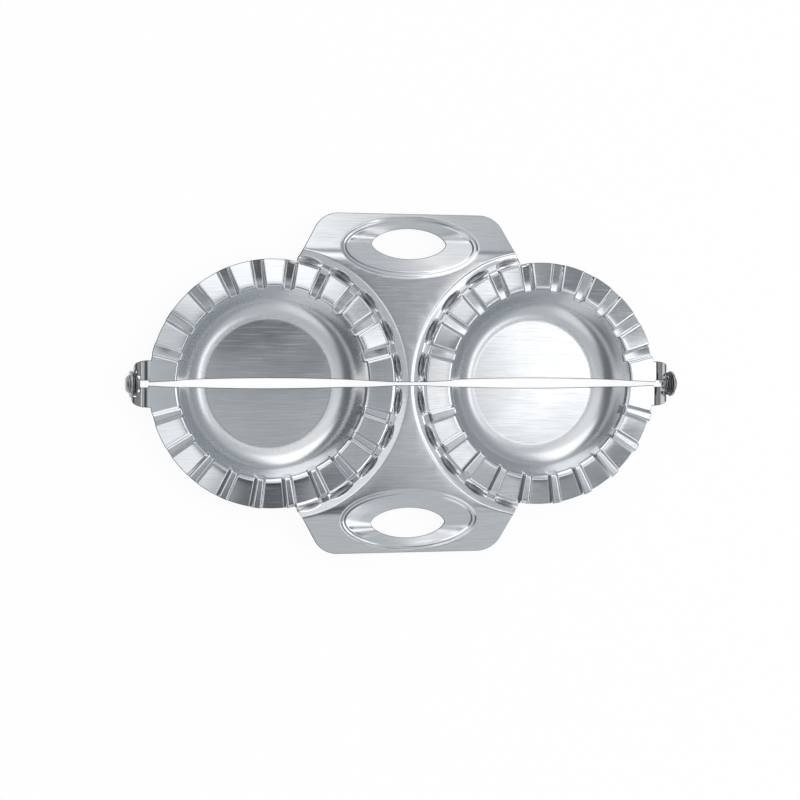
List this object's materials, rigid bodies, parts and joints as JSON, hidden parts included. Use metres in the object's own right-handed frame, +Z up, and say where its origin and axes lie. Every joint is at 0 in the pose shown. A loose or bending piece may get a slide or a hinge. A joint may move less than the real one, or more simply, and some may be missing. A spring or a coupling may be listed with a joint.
{
  "type": "double empanada press",
  "caption": "Hinged stamped-steel press with paired round dough bowls, pleated rims and a finger-hole tab on each leaf, shown lying open.",
  "frame": {"origin": "on the surface that the open press stands on, under the middle of the hinge line", "axes": "+X along the hinge line, +Y from the hinge line towards the back leaf's tab, +Z up, out of the open bowls"},
  "size_m": [0.2188, 0.1312, 0.0177],
  "materials": {
    "brushed_leaf": "stamped stainless sheet, finely brushed on the flats and shinier where it was drawn",
    "rivet": "plain bright steel rivet, slightly dull",
    "washer": "plain bright steel washer"
  },
  "bodies": {
    "front": {"front_leaf": "brushed_leaf", "left_rivet": "rivet", "right_rivet": "rivet", "left_outer_washer": "washer", "right_outer_washer": "washer", "left_inner_washer": "washer", "right_inner_washer": "washer"},
    "back": {"back_leaf": "brushed_leaf"}
  },
  "joints": [
    {"name": "fold", "type": "hinge", "parent": "front", "child": "back", "pos_m": [0, 0, 0.0127], "axis": [1, 0, 0], "range_deg": [0, 180]}
  ]
}
